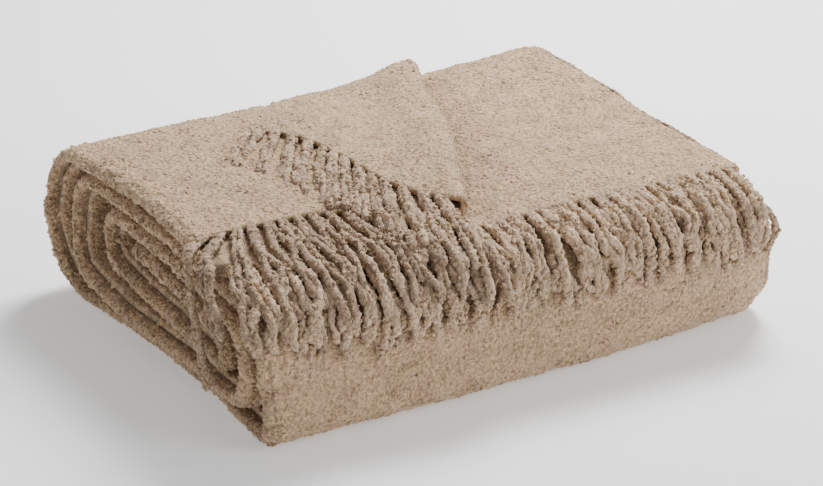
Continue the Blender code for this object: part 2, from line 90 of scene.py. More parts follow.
def turn_line(low, high, reach, depth, squareness, dent):
    """Half a superellipse from one pass to another, as (y, z) rows: across is the cosine and along
    the sine of an angle, each raised to 2 / squareness. Its middle is pushed in by the dent times
    the fourth power of the cosine."""
    z_low, z_high = (BOTTOM_PASS_Z + k * PASS_PITCH for k in (low, high))
    angle = np.linspace(-math.pi / 2, math.pi / 2, TURN_STEPS + 1)
    angle = angle if reach > 0 else angle[::-1]
    across = np.abs(np.cos(angle)) ** (2 / squareness)
    along = np.sign(np.sin(angle)) * np.abs(np.sin(angle)) ** (2 / squareness)
    y = reach - math.copysign(1, reach) * (depth * (1 - across) + dent * np.cos(angle) ** 4)
    return np.column_stack([y, (z_low + z_high) / 2 + along * (z_high - z_low) / 2])


def strip_line():
    """The strip's middle line: the turns one after the other, a bend over the front edge, and a
    straight drop for the hanging fringe."""
    angle = np.linspace(0, math.pi / 2, BEND_POINTS)
    power = 2 / HANG_SQUARENESS
    bend_y = TOP_PASS_END_Y - HANG_DEPTH * np.sin(angle) ** power
    bend_z = BOTTOM_PASS_Z + TOP_PASS * PASS_PITCH - HANG_DROP * (1 - np.abs(np.cos(angle)) ** power)
    foot_z = bend_z[-1] - np.linspace(0, HANG_LENGTH, FOOT_POINTS + 1)[1:]
    foot = np.column_stack([np.full(FOOT_POINTS, bend_y[-1]), foot_z])
    start = np.array([[MIDDLE_PASS_START_Y, BOTTOM_PASS_Z + MIDDLE_PASS * PASS_PITCH]])
    return np.vstack([start] + [turn_line(*t) for t in TURNS] + [np.column_stack([bend_y, bend_z]), foot])


LINE = strip_line()
LINE_S = np.concatenate([[0], np.cumsum(np.hypot(*np.diff(LINE, axis=0).T))])
BEND_S = LINE_S[-(BEND_POINTS + FOOT_POINTS)]
TURN_S = [(LINE_S[1 + k * (TURN_STEPS + 1)], LINE_S[(k + 1) * (TURN_STEPS + 1)])
          for k in range(len(TURNS))]
print("the strip is %.2f m long to its front edge" % BEND_S)

# %% [markdown]
# ## Bending the strip
# A real pack is never a true box: it is lower at one end, its corners sink, and its passes slide a
# little to the left and right. The small tables below hold those shifts, and one function adds
# them after the bend.

# %% From the strip's space into the room
PASS_SHIFTS = np.array([
    # share, x
    (0.00, 0.004), (0.15, -0.003), (0.28, 0.004), (0.37, -0.004), (0.42, -0.016), (0.47, -0.014),
    (0.54, -0.002), (0.60, 0.002), (0.72, 0.009), (0.76, 0.004), (0.80, -0.008), (0.83, -0.020),
    (0.855, -0.027), (0.888, -0.018), (0.934, -0.005), (1.00, -0.003)])
PACK_HALF_DEPTH = 0.15            # from its middle to where its front and back bend down
RIGHT_DROP, RIGHT_DROP_POWER = 0.045, 1.3   # share of its height lost towards the right end
LEFT_BACK_DROOP, RIGHT_BACK_RISE = 0.045, 0.035
DROOP_START_Y, DROOP_LENGTH = -0.02, 0.13   # in front of this the front corners sink
LEFT_FRONT_DROOP, RIGHT_FRONT_DROOP = 0.060, 0.020
BACK_SPREAD, FRONT_SPREAD = 0.032, 0.008    # how much deeper the right end is than the left
BACK_REACH, BACK_REACH_FROM = 0.016, 0.7    # how far the right end sticks out at the back
FOOT_FLARE, FLARE_HEIGHT = 0.026, 0.070     # how far the foot spreads to the front
BOW, ROLL = 0.002, 0.016                    # slow waves in the sides, and in the height as a share
# The dip where the top sinks at the back: middle, half width, share of the height.
DIP_X, DIP_HALF_WIDTH, DIP = 0.015, 0.085, 0.058
SWELL, SWELL_LENGTH = 0.0040, 0.030         # how far a ridge of the left end swells
SWELL_MIDDLE = 0.6      # its share at the middle ply; half a pass from there the rest draws in
LOOK = 0.0025           # the strip's direction is taken between this far behind and this far ahead


def settle(x, y, z):
    """The pack's unevenness: heights fall to the right and at the front corners, its ends are drawn
    in and out with the square of the distance from the middle, its foot spreads to the front, and
    its top sinks at the back in the shape of a squared cosine."""
    share = (x + PACK_HALF_LENGTH) / (2 * PACK_HALF_LENGTH)
    inside = np.clip(share, 0, 1)
    behind, ahead = np.clip(y / PACK_HALF_DEPTH, 0, 1), np.clip(-y / PACK_HALF_DEPTH, 0, 1) ** 2
    height = 1 - RIGHT_DROP * inside ** RIGHT_DROP_POWER - LEFT_BACK_DROOP * (1 - inside) * behind
    height = height + RIGHT_BACK_RISE * inside ** 2 * behind
    across_dip = np.clip((x - DIP_X) / DIP_HALF_WIDTH, -1, 1)
    height = height - DIP * behind * np.cos(math.pi / 2 * across_dip) ** 2
    front = np.clip((DROOP_START_Y - y) / DROOP_LENGTH, 0, 1.2)
    front = front * front * (3 - 2 * np.minimum(front, 1.0))
    droop = LEFT_FRONT_DROOP + (RIGHT_FRONT_DROOP - LEFT_FRONT_DROOP) * inside
    bow = BOW * np.sin(9.0 * x + 0.8) * np.sin(22.0 * z + 0.4)
    rise = 1 + ROLL * np.sin(13.0 * x + 17.0 * y + 2.0)
    end = np.clip((share - BACK_REACH_FROM) / (1 - BACK_REACH_FROM), 0, 1) ** 2
    flare = FOOT_FLARE * (1 - inside ** 4) * np.clip(1 - z / FLARE_HEIGHT, 0, 1) ** 2
    y_out = y + bow + BACK_SPREAD * share * behind ** 2 - (FRONT_SPREAD * share + flare) * ahead
    return x + BACK_REACH * behind * end, y_out, z * height * rise * (1 - droop * front)


def swell(x, h):
    """How far the left end of a pass stands out: a parabola over h that is most at the middle ply,
    so that the three plies end in one round ridge."""
    near_end = np.clip((SWELL_LENGTH - PACK_HALF_LENGTH - x) / SWELL_LENGTH, 0, 1)
    return -SWELL * near_end ** 2 * (SWELL_MIDDLE - np.clip(2 * h / PASS_PITCH, -1, 1) ** 2)


def in_room(x, s, h):
    """Looks up the middle line at s, moves h along its outward normal, and settles the result. The
    trough beside the crease comes off h first."""
    h = h - trough(x, s, h)
    y, z = (np.interp(s, LINE_S, line) for line in LINE.T)
    step_y, step_z = (np.interp(s + LOOK, LINE_S, line) - np.interp(s - LOOK, LINE_S, line)
                      for line in LINE.T)
    size = np.hypot(step_y, step_z)
    x = x + swell(x, h) + np.interp(s / BEND_S, PASS_SHIFTS[:, 0], PASS_SHIFTS[:, 1])
    return np.stack(settle(x, y + h * step_z / size, z - h * step_y / size), axis=-1) + TO_FRAME


def s_of_front(y):
    """Distance along the strip of the place y on its top pass, counted back from the front bend."""
    return BEND_S + TOP_PASS_END_Y - y


print("the top pass starts %.2f m along the strip" % s_of_front(0.15))

# %% [markdown]
# ## The turned corner
# The top third's corner is folded back along a crease that slants from the hem up to the right and
# runs off round the back. Turning back is a reflection with a small roll in place of the sharp
# line: a point past the crease first goes round the roll, and then lies back over its own third.

# %% The crease and the hems
CREASE_X, CREASE_ANGLE, CREASE_RADIUS = -0.022, math.radians(65.0), 0.0036
CREASE_BEND_Y, CREASE_BEND, CREASE_BEND_EASE = 0.095, 0.42, 0.03
PUFF, PUFF_WIDTH = 0.0030, 0.034       # the soft roll that the corner lies on, beside the crease
TROUGH, TROUGH_RIGHT, TROUGH_LEFT = 0.0060, 0.060, 0.012
TROUGH_ABOVE, TROUGH_FADE = 0.0045, 0.003      # nothing sinks that is this far over the top ply
TROUGH_FRONT, TROUGH_BACK_Y, TROUGH_EASE = 0.02, 0.13, 0.05    # where it runs out along the strip
FLAP_LIFT, FLAP_LIFT_Y, FLAP_EASE = 0.0018, 0.110, 0.030
UNDER_HEM_Y, UNDER_HEM_LEFT_Y, UNDER_HEM_EASE = -0.130, -0.106, 0.10
TOP_HEM = np.array([
    # x, y of the top third's hem before its corner is turned back
    (-0.2215, -0.071), (-0.150, -0.069), (-0.090, -0.076), (-0.050, -0.102), (-0.015, -0.119),
    (0.035, -0.118), (0.070, -0.102), (0.105, -0.076), (0.150, -0.050), (0.182, -0.040)])
HEM_PLACES, HEM_MEAN = 81, 11


def top_hem_y(x):
    """The hem's table made smooth: a running mean of HEM_MEAN places out of HEM_PLACES."""
    fine = np.linspace(TOP_HEM[0, 0], TOP_HEM[-1, 0], HEM_PLACES)
    rough = np.pad(np.interp(fine, TOP_HEM[:, 0], TOP_HEM[:, 1]), HEM_MEAN // 2, mode="edge")
    return np.interp(x, fine, np.convolve(rough, np.ones(HEM_MEAN) / HEM_MEAN, mode="valid"))


def hem_s(x, h):
    """Distance along the strip of the hem at x: the under hem where h is 0, the top one at a ply."""
    from_left = np.clip((x + PACK_HALF_LENGTH) / UNDER_HEM_EASE, 0, 1)
    under = UNDER_HEM_LEFT_Y + (UNDER_HEM_Y - UNDER_HEM_LEFT_Y) * from_left
    return s_of_front(under + (top_hem_y(x) - under) * np.clip(h / PLY_PITCH, 0, 1))


CREASE_S = float(s_of_front(top_hem_y(CREASE_X)))
print("the crease starts %.2f m along the strip" % CREASE_S)

# %% Turning the corner back
def crease_bend(s):
    """How far the crease swings right behind CREASE_BEND_Y: the square of the distance behind it,
    over that distance and CREASE_BEND_EASE."""
    behind = np.clip(s_of_front(CREASE_BEND_Y) - s, 0, None)
    return CREASE_BEND * behind * behind / (behind + CREASE_BEND_EASE)


def past_crease(x, s):
    """Distance past the crease, positive on the corner that is turned back."""
    across, ahead = math.sin(CREASE_ANGLE), math.cos(CREASE_ANGLE)
    return (x - crease_bend(s) - CREASE_X) * across + (s - CREASE_S) * ahead


def trough(x, s, h):
    """Depth of the trough that lies along the right of the crease: a squared cosine of the distance
    from it, wide to the right and narrow to the left. Only the plies under the corner sink."""
    d = past_crease(x, s)
    shape = np.cos(math.pi / 2 * np.clip(np.where(d > 0, d / TROUGH_RIGHT, -d / TROUGH_LEFT), 0, 1)) ** 2
    under = np.clip((PLY_PITCH + TROUGH_ABOVE - h) / TROUGH_FADE, 0, 1)
    behind_hem = np.clip((CREASE_S + TROUGH_FRONT - s) / TROUGH_EASE, 0, 1)
    before_back = np.clip((s - s_of_front(TROUGH_BACK_Y)) / TROUGH_EASE, 0, 1)
    return TROUGH * shape * under * behind_hem * before_back


def turn_back(x, s, h):
    """A roll of CREASE_RADIUS and then straight back: angle = distance past the crease / radius.
    The roll is puffed up a little, and falls off beside the crease as a squared cosine."""
    across, ahead = math.sin(CREASE_ANGLE), math.cos(CREASE_ANGLE)
    d, up, r = past_crease(x, s), h - PLY_PITCH, CREASE_RADIUS
    turn = np.clip(d / r, 0, math.pi)
    past = np.clip(d - math.pi * r, 0, None)
    new_d = np.where(d > 0, (r - up) * np.sin(turn) - past, d)
    new_h = np.where(d > 0, PLY_PITCH + r - (r - up) * np.cos(turn), h)
    new_s = s + (new_d - d) * ahead
    over_bend = np.clip((s_of_front(FLAP_LIFT_Y) - new_s) / FLAP_EASE, 0, 1)
    new_h = new_h + FLAP_LIFT * np.clip(past / FLAP_EASE, 0, 1) * over_bend
    fall = np.cos(math.pi / 2 * np.clip(past / PUFF_WIDTH, 0, 1)) ** 2
    new_h = new_h + PUFF * (1 - np.cos(turn)) / 2 * fall
    return x - crease_bend(s) + (new_d - d) * across + crease_bend(new_s), new_s, new_h


print("the crease meets the hem at", np.round(in_room(CREASE_X, CREASE_S, PLY_PITCH), 3))

# %% [markdown]
# ## Soft noise
# Wool is uneven at every size. The lumps of the cloth come from noise on a lattice: random heights
# at the corners of squares, joined by smooth curves. It is worked out in the cloth's own
# coordinates, so the lumps follow the folds.

# %% Noise on a lattice
LATTICE = 256
CLUMP_HEIGHT, CLUMP_STEP = 0.0011, 0.0068
LUMP_HEIGHT, LUMP_STEP = 0.0007, 0.013


def soft_noise(u, v, step, seed):
    """Random heights from -1 to 1 at every step, with the weight 3 t^2 - 2 t^3 between them."""
    heights = np.random.default_rng(seed).uniform(-1, 1, (LATTICE, LATTICE))
    i, j = np.floor(u / step).astype(int), np.floor(v / step).astype(int)
    a, b = u / step - i, v / step - j
    a, b = a * a * (3 - 2 * a), b * b * (3 - 2 * b)
    i, j, i_next, j_next = i % LATTICE, j % LATTICE, (i + 1) % LATTICE, (j + 1) % LATTICE
    low = heights[i, j] * (1 - a) + heights[i_next, j] * a
    high = heights[i, j_next] * (1 - a) + heights[i_next, j_next] * a
    return low * (1 - b) + high * b


def pile_lumps(u, v):
    """Height of the pile over the cloth: noise for clumps of curls, and broader noise for lumps."""
    clumps = 0.5 + 0.5 * soft_noise(u, v, CLUMP_STEP, 3)
    return CLUMP_HEIGHT * clumps + LUMP_HEIGHT * soft_noise(u, v, LUMP_STEP, 4)


print("noise over one step:", np.round(soft_noise(np.linspace(0, 0.01, 5), np.zeros(5), 0.01, 3), 2))

# %% [markdown]
# ## The folded cloth
# The cloth is one closed skin: a grid whose rows lie one behind the other along the strip, and
# whose columns go across the thirds on one face and back on the other. Rows and columns stand
# close where the throw shows, on its top, front, back and turned corner, and far apart inside the
# pack. A column is one number, q: 0 to 1 is the first third, 1 to 2 the fold at the right,
# 2 to 3 the middle third, 3 to 4 the fold at the left, and 4 to 5 the top third.

# %% Across the thirds
LEFT, RIGHT = -PACK_HALF_LENGTH + PLY_PITCH / 2, PACK_HALF_LENGTH - PLY_PITCH / 2
ROLL_FROM, ROLL_TO = 0.5, 0.6          # the part of the top third's q that goes round the crease


def across_thirds(q, even, crease, edge, creased):
    """x, h and the side of the first face for columns q. The folds are half circles. On the top
    third x is a blend of an even spread and one that puts the roll's columns at the crease."""
    t, part, r = q % 1.0, np.floor(q), PLY_PITCH / 2
    t = np.where(q >= 5, 1.0, t)
    part = np.minimum(part, 4)
    angle = math.pi * t
    roll = np.minimum(math.pi * CREASE_RADIUS, 0.8 * (edge - crease))
    before = LEFT + (crease - LEFT) * t / ROLL_FROM
    round_it = crease + roll * (t - ROLL_FROM) / (ROLL_TO - ROLL_FROM)
    after = crease + roll + (edge - crease - roll) * (t - ROLL_TO) / (1 - ROLL_TO)
    at_crease = np.where(t < ROLL_FROM, before, np.where(t < ROLL_TO, round_it, after))
    top = creased * at_crease + (1 - creased) * (LEFT + (edge - LEFT) * even)
    first = INNER_EDGE_X + (RIGHT - INNER_EDGE_X) * t
    parts = [part == k for k in range(4)]
    out, rise = r * np.sin(angle), r * (1 - np.cos(angle))
    x = np.select(parts, [first, RIGHT + out, RIGHT + (LEFT - RIGHT) * t, LEFT - out], top)
    h = np.select(parts, [-PLY_PITCH + 0 * t, -PLY_PITCH + rise, 0 * t, rise], PLY_PITCH)
    side_x = np.select(parts[1::2], [np.sin(angle), np.sin(angle)], 0.0)
    side_h = np.select(parts[1:], [-np.cos(angle), 1 + 0 * t, np.cos(angle)], -1.0)
    return x, h, side_x, side_h


def spread(*runs):
    """Columns from runs of (from, to, how many), each without its last place."""
    return np.concatenate([np.linspace(a, b, n + 1)[:-1] for a, b, n in runs])


FIRST_FACE = np.append(spread(
    (0, 0.1, 5), (0.1, 1, 10), (1, 2, 8), (2, 2.57, 48), (2.57, 2.93, 8), (2.93, 3, 4),
    (3, 4, 4), (4, 4.5, 12), (4.5, 4.6, 8), (4.6, 4.94, 26), (4.94, 5, 6)), 5.0)
SECOND_FACE = np.append(spread(
    (0, 0.08, 4), (0.08, 1, 10), (1, 2, 4), (2, 2.93, 9), (2.93, 3, 4), (3, 4, 9),
    (4, 4.5, 62), (4.5, 4.6, 9), (4.6, 5, 18)), 5.0)


def even_share(columns):
    """Each top-third column's place by its number alone, for rows that no crease crosses."""
    on_top = columns >= 4
    return np.where(on_top, (np.cumsum(on_top) - 1) / max(1, on_top.sum() - 1), 0.0)


print(len(FIRST_FACE), "columns on one face and", len(SECOND_FACE), "on the other")

# %% Rows along the strip
TILT_START = s_of_front(0.050)
FINE, MIDDLING, COARSE = 0.0042, 0.0060, 0.0120


def row_places():
    """Rows at a spacing that depends on s, from the running sum of 1 / spacing, and then rows that
    lean until the last of them follows the hem."""
    s = np.linspace(0, TILT_START, 4000)
    spacing = np.full(len(s), COARSE)
    for k, (start, end) in enumerate(TURN_S):
        spacing[(s > start) & (s < end)] = FINE * 1.15 if k >= 4 else MIDDLING
    spacing[s > TURN_S[5][1]] = FINE
    total = np.concatenate([[0], np.cumsum(np.diff(s) / spacing[1:])])
    level = np.interp(np.linspace(0, total[-1], int(total[-1])), total, s)
    tilts = np.linspace(0, 1, 41)[1:]
    return (np.concatenate([level, np.full(len(tilts), TILT_START)]),
            np.concatenate([np.zeros(len(level)), tilts]))


ROW_S, ROW_TILT = row_places()
EDGE_EASE = 0.20        # over this length the top third's edge comes in
EVEN_S, CREASED_S = 1.336, 1.696        # between these the columns go over to following the crease
edge_s = ROW_S + ROW_TILT * (s_of_front(TOP_HEM[-1, 1]) - ROW_S)
edge_in = np.clip((edge_s - s_of_front(0.15)) / EDGE_EASE, 0, 1)
ROW_EDGE = OUTER_EDGE_X + (OUTER_EDGE_HEM_X - OUTER_EDGE_X) * edge_in


def crease_places():
    """Where each row crosses the crease: the x at which the distance past it is nought."""
    x = np.linspace(CREASE_X - 0.04, OUTER_EDGE_X + 0.03, 400)
    found = []
    for s, tilt in zip(ROW_S, ROW_TILT):
        leaning = s + tilt * (hem_s(x, np.full(len(x), PLY_PITCH)) - s)
        found.append(np.interp(0.0, past_crease(x, leaning), x))
    return np.array(found)


ROW_CREASE = np.minimum(crease_places(), ROW_EDGE - 0.012)
ROW_TURNED = crease_places() < ROW_EDGE - 0.004
ROW_CREASED = np.clip((ROW_S - EVEN_S) / (CREASED_S - EVEN_S), 0, 1)
print(len(ROW_S), "rows, of which", int(ROW_TURNED.sum()), "cross the turned corner")

# %% The skin of the cloth
FLAP_EDGE_SINK = 0.0048    # the turned corner's edge presses into the cloth under it
FACE_GAP = 0.0003       # the hidden faces of neighbouring plies keep at least twice this apart
LUMP_SINK = 0.0008      # the pile's lumps start this far under the face
PART_OFFSET = 0.5       # the noise moves on by this from part to part, so that no lumps repeat


def face_of_cloth(columns, sign):
    """One face as a grid of room points: middle line, half the thickness to its side, the pile's
    lumps on top of that, the corner turned back, and all of it bent into the room."""
    column = lambda a: a[:, None]
    q = np.broadcast_to(columns, (len(ROW_S), len(columns)))
    x, h, side_x, side_h = across_thirds(
        q, even_share(columns)[None, :], column(ROW_CREASE), column(ROW_EDGE), column(ROW_CREASED))
    s = column(ROW_S) + column(ROW_TILT) * (hem_s(x, h) - column(ROW_S))
    outer = (q >= 3) if sign < 0 else ((q >= 1) & (q <= 3)) | (q > 4.5)
    lumps = np.where(outer, pile_lumps(x + PART_OFFSET * np.floor(q), s), 0.0)
    half = sign * (CLOTH_THICKNESS / 2 - FACE_GAP * ~outer + lumps - LUMP_SINK * outer)
    near_edge = np.clip((q - 4.90) / 0.10, 0, 1) * (sign > 0)
    half = half * (1 - 1.5 * near_edge ** 2)
    x, h = x + half * side_x, h + half * side_h
    wide = np.clip((column(ROW_EDGE - ROW_CREASE) - 0.03) / 0.05, 0, 1) * column(ROW_CREASED)
    pressed = h + FLAP_EDGE_SINK * wide * np.clip((q - 4.80) / 0.20, 0, 1) ** 2
    back = turn_back(x, s, pressed)
    x, s, h = (np.where(q >= 4, b, a) for a, b in zip((x, s, h), back))
    return x, s, h


first = face_of_cloth(FIRST_FACE, 1.0)
second = face_of_cloth(SECOND_FACE, -1.0)
ring = [np.concatenate([a, b[:, ::-1]], axis=1) for a, b in zip(first, second)]
cloth_points = in_room(*ring)
ring_q = np.concatenate([FIRST_FACE, SECOND_FACE[::-1]])
ring_sign = np.concatenate([np.ones(len(FIRST_FACE)), -np.ones(len(SECOND_FACE))])
print("cloth grid:", cloth_points.shape, "lowest point %.4f" % cloth_points[..., 2].min())

# %% Painted shade and highlight by place
CREASE_PAINTED_LIGHT = np.array([
    # metres right of the crease, tone: painted shade below nought, painted highlight above it
    (-0.110, 0.0), (-0.085, 0.3), (-0.055, 0.1), (-0.036, -0.8), (-0.018, -0.3), (-0.007, 0.6),
    (0.001, 0.6), (0.005, -1.2), (0.010, -2.3), (0.018, -1.7), (0.032, -0.6), (0.050, 0.0)])
TONE_FROM_Z, TONE_RISE = 0.085, 0.02            # it comes in over this height
TONE_AHEAD, TONE_BACK_Y, TONE_EASE = 0.02, 0.150, 0.03      # and goes out to the front and back


def crease_painted_light(points):
    """Painted light by place: the groove beside the crease is painted darker, as the shade that the
    crest casts into it, and the crest is painted lighter as a highlight. Read from a table by the distance
    right of the crease."""
    height = np.full(len(ROW_S), PLY_PITCH)
    line_s = ROW_S + ROW_TILT * (hem_s(ROW_CREASE, height) - ROW_S)
    line = in_room(ROW_CREASE, line_s, height)[ROW_TURNED & (line_s > s_of_front(0.15))]
    order = np.argsort(line[:, 1])
    right_of = points[:, 0] - np.interp(points[:, 1], line[order, 1], line[order, 0])
    shade = np.interp(right_of, CREASE_PAINTED_LIGHT[:, 0], CREASE_PAINTED_LIGHT[:, 1])
    on_top = np.clip((points[:, 2] - TONE_FROM_Z) / TONE_RISE, 0, 1)
    inside = np.clip((points[:, 1] - line[order[0], 1] + TONE_AHEAD) / TONE_EASE, 0, 1)
    return shade * on_top * inside * np.clip((TONE_BACK_Y - points[:, 1]) / TONE_EASE, 0, 1)


print("darkest tone beside the crease:", CREASE_PAINTED_LIGHT[:, 1].min())

# %% Meshes from grids
FLOOR_GAP = 0.0002      # no point of the throw is lower than this


def put(name, data):
    """A new object in the scene."""
    thing = bpy.data.objects.new(name, data)
    bpy.context.scene.collection.objects.link(thing)
    return thing


def mesh_piece(name, points, faces, uv=None, tone=None):
    """A piece from its points and faces, with its faces turned outwards, a UV map in metres and a
    tone for each point."""
    mesh = bpy.data.meshes.new(name)
    points = np.array(points, np.float32)
    points[:, 2] = np.maximum(points[:, 2], FLOOR_GAP)
    mesh.vertices.add(len(points))
    mesh.vertices.foreach_set("co", points.ravel())
    sizes = np.concatenate([np.full(len(f), f.shape[1]) for f in faces])
    corners = np.concatenate([f.ravel() for f in faces]).astype(np.int32)
    mesh.loops.add(len(corners))
    mesh.loops.foreach_set("vertex_index", corners)
    mesh.polygons.add(len(sizes))
    mesh.polygons.foreach_set("loop_start", np.concatenate([[0], np.cumsum(sizes)[:-1]]).astype(np.int32))
    mesh.update(calc_edges=True)
    mesh.validate()
    mesh.polygons.foreach_set("use_smooth", np.ones(len(mesh.polygons), bool))
    if uv is not None:
        layer = mesh.uv_layers.new(name="cloth_metres")
        order = np.empty(len(mesh.loops), np.int32)
        mesh.loops.foreach_get("vertex_index", order)
        layer.data.foreach_set("uv", np.asarray(uv, np.float32)[order].ravel())
    if tone is not None:
        shades = mesh.attributes.new("tone", "FLOAT", "POINT")
        shades.data.foreach_set("value", np.asarray(tone, np.float32))
    return put(name, mesh)


def face_outwards(piece):
    """Turns a closed piece's faces outwards, and gives its volume in cubic metres."""
    work = bmesh.new()
    work.from_mesh(piece.data)
    bmesh.ops.recalc_face_normals(work, faces=work.faces)
    if work.calc_volume(signed=True) < 0:
        bmesh.ops.reverse_faces(work, faces=work.faces)
    work.to_mesh(piece.data)
    volume = work.calc_volume(signed=True)
    work.free()
    return volume


def ring_faces(rows, count, start=0):
    """Quads between closed rings of count points that follow each other."""
    a = start + np.arange(rows - 1)[:, None] * count + np.arange(count)
    b = start + np.arange(rows - 1)[:, None] * count + (np.arange(count) + 1) % count
    return np.stack([a, b, b + count, a + count], axis=-1).reshape(-1, 4)


def zip_faces(a, a_index, b, b_index):
    """Triangles between two lines of points that share their ends: each step along either line is
    one triangle to the place that the other has reached."""
    on_b = np.clip(np.searchsorted(b, a[1:], "left") - 1, 0, len(b) - 1)
    on_a = np.clip(np.searchsorted(a, b[1:], "right") - 1, 0, len(a) - 1)
    return np.concatenate([np.stack([a_index[:-1], a_index[1:], b_index[on_b]], -1),
                           np.stack([b_index[1:], b_index[:-1], a_index[on_a]], -1)])


print("two rings of", len(ring_faces(2, 4)), "points have as many faces between them")

def make_cloth():
    """The ring of columns as one closed skin: quads from row to row, and triangles over both ends."""
    rows, count = cloth_points.shape[:2]
    n_first = len(FIRST_FACE)
    quads = ring_faces(rows, count)
    ends = []
    for row in (0, rows - 1):
        base = row * count
        ends.append(zip_faces(FIRST_FACE, base + np.arange(n_first),
                              SECOND_FACE, base + count - 1 - np.arange(len(SECOND_FACE))))
    uv = np.stack([ring[0] + np.floor(np.minimum(ring_q, 4.99)) * 0.45, ring[1]], -1).reshape(-1, 2)
    points = cloth_points.reshape(-1, 3)
    # the cloth's tone is the painted shade and highlight beside the crease
    return mesh_piece("boucle_cloth", points, [quads] + ends, uv=uv, tone=crease_painted_light(points))


cloth = make_cloth()
volume = face_outwards(cloth)
triangles = sum(len(p.vertices) - 2 for p in cloth.data.polygons)
print("cloth: %d triangles, %.1f litres" % (triangles, volume * 1000))

# %% [markdown]
# ## The pile
# Boucle yarn stands out of the cloth in low nubs about 5 mm wide, larger on the ridges of the left
# end, and here and there a loop of it stands clear. Nubs are low domes with few faces whose rims are
# sunk in the cloth, loops are short bent tubes of three sides, and thousands of each are joined into
# a few meshes. They are strewn over the cells of the cloth's own grid that can be seen, so that each
# has the same area to itself, and each leans its own way.

# %% Where the pile shows
# How far in from the left the eye sees the ends, the faces of passes, those of turns, and a ridge.
END_X, PASS_FACE_X, TURN_FACE_X, RIDGE_X = -0.2165, -0.205, -0.188, -0.200


def cell_grids():
    """Normal, area and corners of every cell of the cloth's grid, from its two diagonals."""
    p = np.concatenate([cloth_points, cloth_points[:, :1]], axis=1)
    a, b, c, d = p[:-1, :-1], p[:-1, 1:], p[1:, 1:], p[1:, :-1]
    cross = np.cross(c - a, d - b)
    size = np.linalg.norm(cross, axis=-1)
    return cross / np.maximum(size, 1e-12)[..., None], size / 2, (a, b, c, d)


def seen_cells():
    """Cells on the top third's upper face, the turned corner, the middle third beside it, the folds
    at both ends, and what shows of the other thirds at the left end of every pass and turn."""
    q = (ring_q + np.roll(ring_q, -1)) / 2
    sign = ring_sign
    s = (ROW_S + ROW_TILT * 0.15)[:-1, None]
    outer_rows = (s > TURN_S[4][0] - 0.02) & ((s < TURN_S[4][1] + 0.01) | (s > TURN_S[5][0] - 0.01))
    turned = ROW_TURNED[:-1, None]
    upper = (sign < 0) & (q >= 4) & ((q < 4.6) | ~turned) & outer_rows
    flap = (sign > 0) & (q > 4.5) & turned
    x = ring[0][:-1]
    beside = (sign > 0) & (q > 2) & (q < 3) & turned & (x > ROW_CREASE[:-1, None] - 0.004)
    left_fold = (sign < 0) & (q > 3) & (q < 4)
    right_fold = (sign > 0) & (q > 1) & (q < 2)
    outside = ((sign > 0) & (q < 1)) | ((sign < 0) & (q >= 4))
    in_turn = np.any([(s > start) & (s < end) for start, end in TURN_S], axis=0)
    left_end = (x < END_X) | ((x < PASS_FACE_X) & outside) | ((x < TURN_FACE_X) & outside & in_turn)
    ridges = left_end | left_fold & (x < RIDGE_X)
    return upper | flap | beside | left_fold | right_fold | left_end, ridges


def strew(cells, count, seed):
    """Places on the cells, each with the same area: the running sum of the areas is cut into equal
    lengths, and each cut falls in one cell, at a random place inside it."""
    chance = np.random.default_rng(seed)
    index = np.flatnonzero(cells.ravel())
    total = np.cumsum(cell_area.ravel()[index])
    cut = (np.arange(count) + chance.uniform(0, 1, count)) / count * total[-1]
    chosen = index[np.clip(np.searchsorted(total, cut), 0, len(index) - 1)]
    u, v = chance.uniform(0, 1, (2, count, 1))
    a, b, c, d = (corner.reshape(-1, 3)[chosen] for corner in cell_corners)
    places = (a * (1 - u) + b * u) * (1 - v) + (d * (1 - u) + c * u) * v
    return places, cell_normal.reshape(-1, 3)[chosen] * flip


cell_normal, cell_area, cell_corners = cell_grids()
seen, at_left_end = seen_cells()
top_face = (ring_sign < 0) & (ring_q > 4) & (ROW_S[:-1, None] > TURN_S[5][1])
flip = np.sign(np.median(cell_normal[..., 2][top_face]))
print("pile shows over %.2f square metres" % cell_area[seen].sum())

# %% A curl
CURL_STATIONS = 4
CURL_SIDES = 3


def leaning_axes(chance, normal, lean):
    """The normals with a random lean, and for each two directions square to it and each other."""
    normal = normal + chance.normal(0, lean, normal.shape)
    normal /= np.linalg.norm(normal, axis=1, keepdims=True)
    tangent = np.cross(normal, chance.normal(0, 1, normal.shape))
    tangent /= np.linalg.norm(tangent, axis=1, keepdims=True)
    return normal, tangent, np.cross(normal, tangent)


def curls(name, root, normal, size, seed, lean=0.25, painted_lightening=0.0):
    """Bent tubes: the centre goes round an arc of 230 degrees in the plane of a tangent and the
    normal, a little sideways as it goes, and the section is a small triangle round it."""
    chance = np.random.default_rng(seed)
    count = len(root)
    normal, tangent, side = leaning_axes(chance, normal, lean)
    theta = np.radians(np.linspace(-25, 205, CURL_STATIONS))[None, :, None]
    radius = (size * chance.uniform(0.75, 1.25, count))[:, None, None]
    spoke = np.cos(theta) * tangent[:, None] + 0.9 * np.sin(theta) * normal[:, None]
    slide = (theta / math.pi - 0.5) * chance.uniform(-0.8, 0.8, count)[:, None, None] * radius
    centre = root[:, None] + radius * spoke + slide * side[:, None]
    thick = radius * 0.36 * np.array([0.6, 1.05, 1.05, 0.6])[None, :, None]
    phi = 2 * math.pi * np.arange(CURL_SIDES) / CURL_SIDES
    points = (centre[:, :, None] + thick[:, :, None] * (np.cos(phi)[:, None] * spoke[:, :, None]
              + np.sin(phi)[:, None] * side[:, None, None]))
    per = CURL_STATIONS * CURL_SIDES
    one = ring_faces(CURL_STATIONS, CURL_SIDES)
    base = np.arange(count)[:, None, None] * per
    quads = (one[None] + base).reshape(-1, 4)
    caps = np.array([[0, 2, 1], [per - 3, per - 2, per - 1]])
    caps = (caps[None] + base).reshape(-1, 3)
    tone = np.repeat(chance.uniform(-1, 1, count) + painted_lightening, per)
    return mesh_piece(name, points.reshape(-1, 3), [quads, caps], tone=tone)


